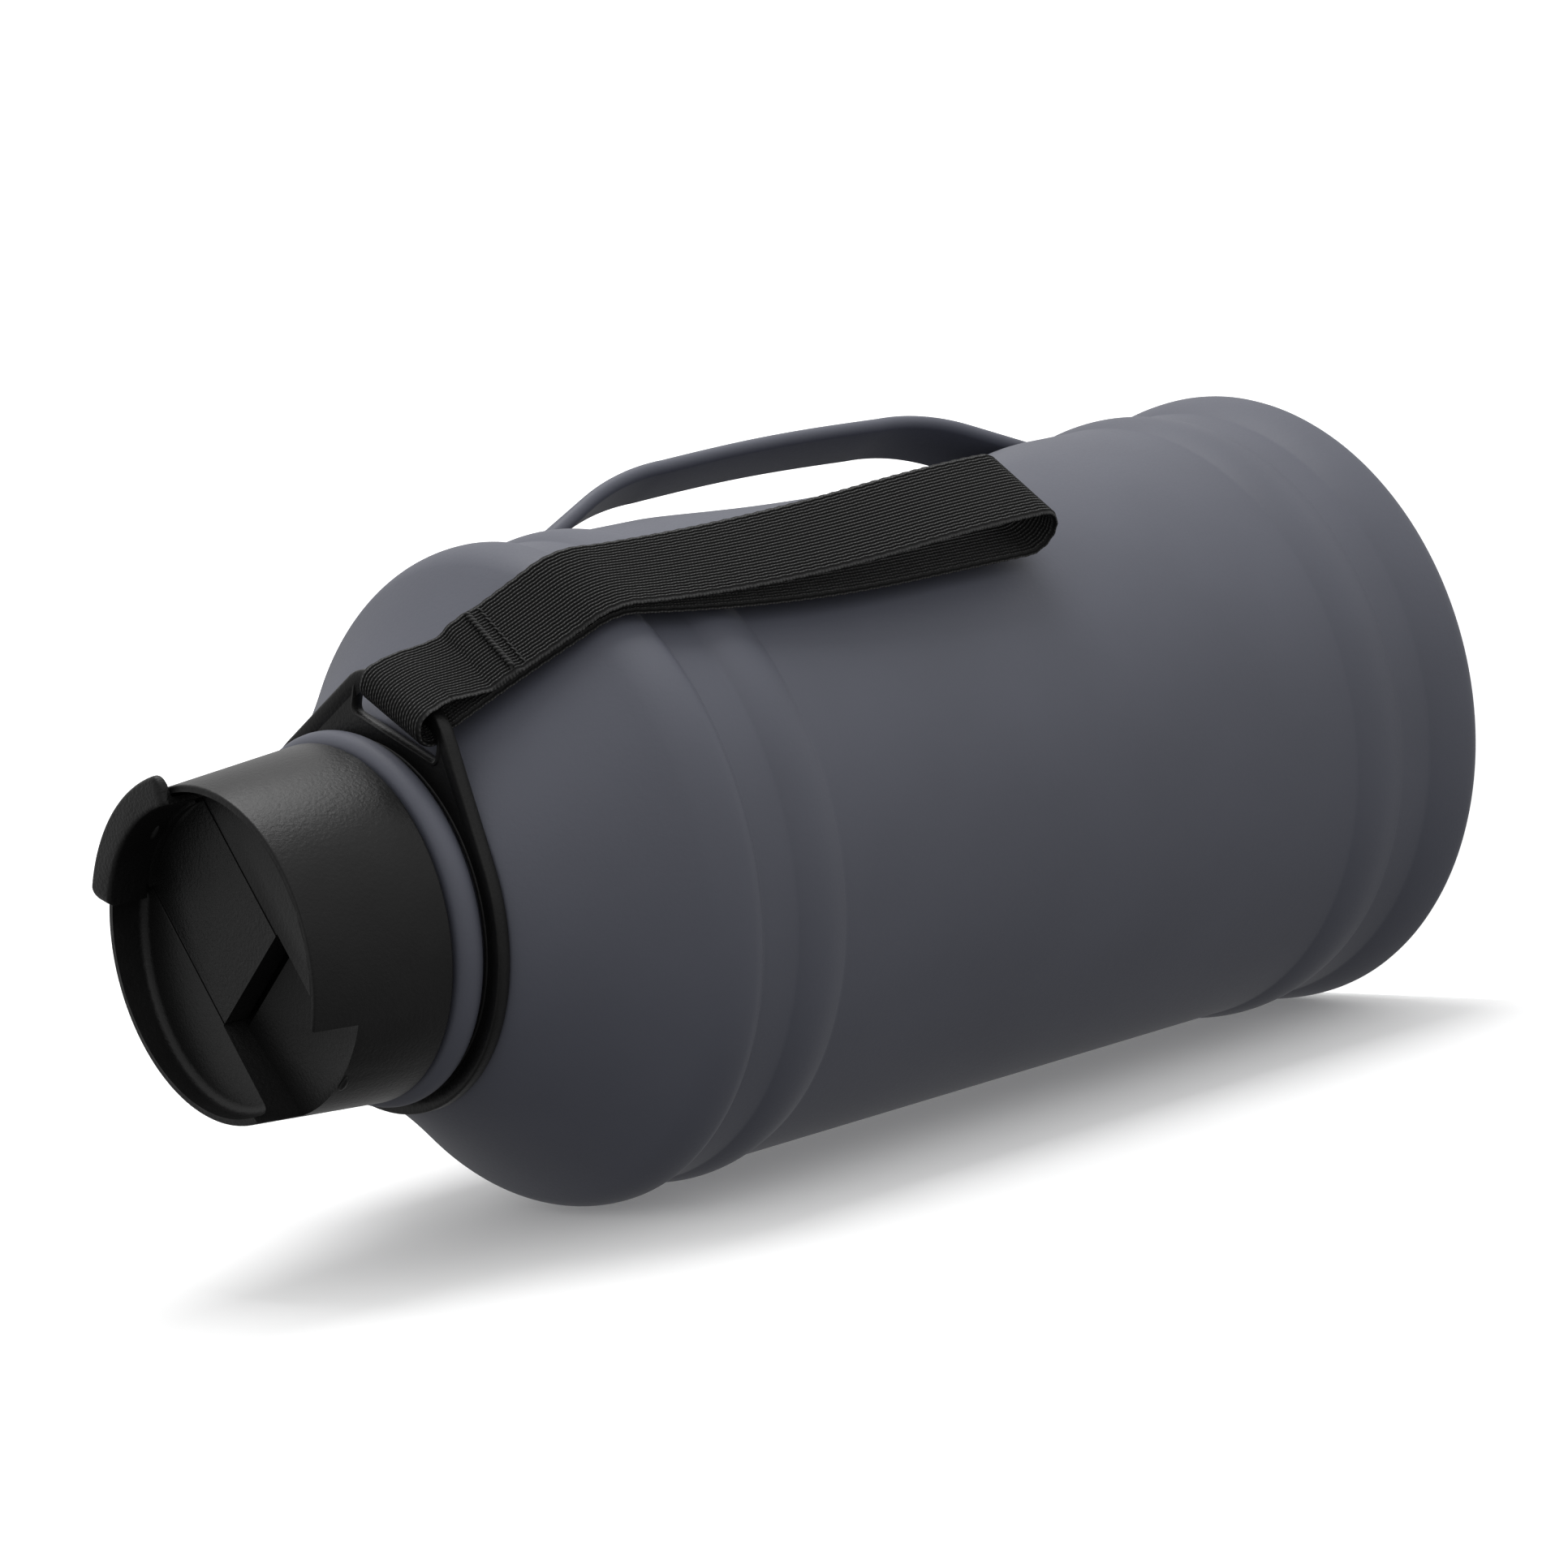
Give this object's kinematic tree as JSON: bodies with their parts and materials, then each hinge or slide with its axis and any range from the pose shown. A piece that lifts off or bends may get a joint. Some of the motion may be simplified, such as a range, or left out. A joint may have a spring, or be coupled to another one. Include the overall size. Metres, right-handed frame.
{
  "type": "insulated water bottle",
  "caption": "Large insulated steel water bottle with a bar handle over a hand dent, a screw lid with a flip-up drinking cover, and a collar carrying a webbing loop.",
  "frame": {"origin": "centre of the flat base that the bottle stands on", "axes": "+Z runs from the base along the bottle's axis to the lid, and +X runs from the axis through the middle of the bar handle"},
  "size_m": [0.1409, 0.1374, 0.2792],
  "materials": {
    "grey_paint": "matte powder coat",
    "grey_paint_base": "matte powder coat",
    "steel_seal": "pressed steel disc",
    "steel_flask": "bare brushed steel",
    "grey_paint_handle": "matte powder coat",
    "black_collar": "fine grain moulded plastic",
    "black_webbing": "ribbed woven webbing",
    "black_lid": "fine grain moulded plastic",
    "black_liner": "plain moulded plastic",
    "grey_gasket": "silicone",
    "black_cover": "fine grain moulded plastic",
    "steel_pin": "drawn wire",
    "grey_spout_seal": "silicone",
    "grey_vent_seal": "silicone"
  },
  "bodies": {
    "bottle": {"outer_shell": "grey_paint", "base_plate": "grey_paint_base", "vacuum_seal": "steel_seal", "inner_flask": "steel_flask", "handle": "grey_paint_handle"},
    "collar": {"collar": "black_collar"},
    "strap": {"strap": "black_webbing"},
    "seal": {"lid_gasket": "grey_gasket"},
    "lid": {"lid_cap": "black_lid", "lid_liner": "black_liner", "hinge_pin": "steel_pin"},
    "cover": {"flip_cover": "black_cover", "spout_seal": "grey_spout_seal", "vent_seal": "grey_vent_seal"}
  },
  "joints": [
    {"name": "collar_turn", "type": "hinge", "parent": "bottle", "child": "collar", "pos_m": [0, 0, 0.23835], "axis": [0, 0, 1], "range_deg": [-270, 38]},
    {"name": "strap_swing", "type": "hinge", "parent": "collar", "child": "strap", "pos_m": [0.02994, -0.03326, 0.23835], "axis": [-0.7431, -0.6691, 0], "range_deg": [0, 110]},
    {"name": "lid_rise", "type": "slide", "parent": "bottle", "child": "seal", "axis": [0, 0, 1], "range_m": [0, 0.0081]},
    {"name": "lid_turn", "type": "hinge", "parent": "seal", "child": "lid", "pos_m": [0, 0, 0.26], "axis": [0, 0, 1], "range_deg": [0, 720]},
    {"name": "cover_flip", "type": "hinge", "parent": "lid", "child": "cover", "pos_m": [-0.00319, -0.00085, 0.2692], "axis": [0.2588, -0.9659, 0], "range_deg": [0, 180]}
  ],
  "couplings": [
    {"joint": "lid_rise", "follows": "lid_turn", "m_per_rad": 0.00063662}
  ]
}
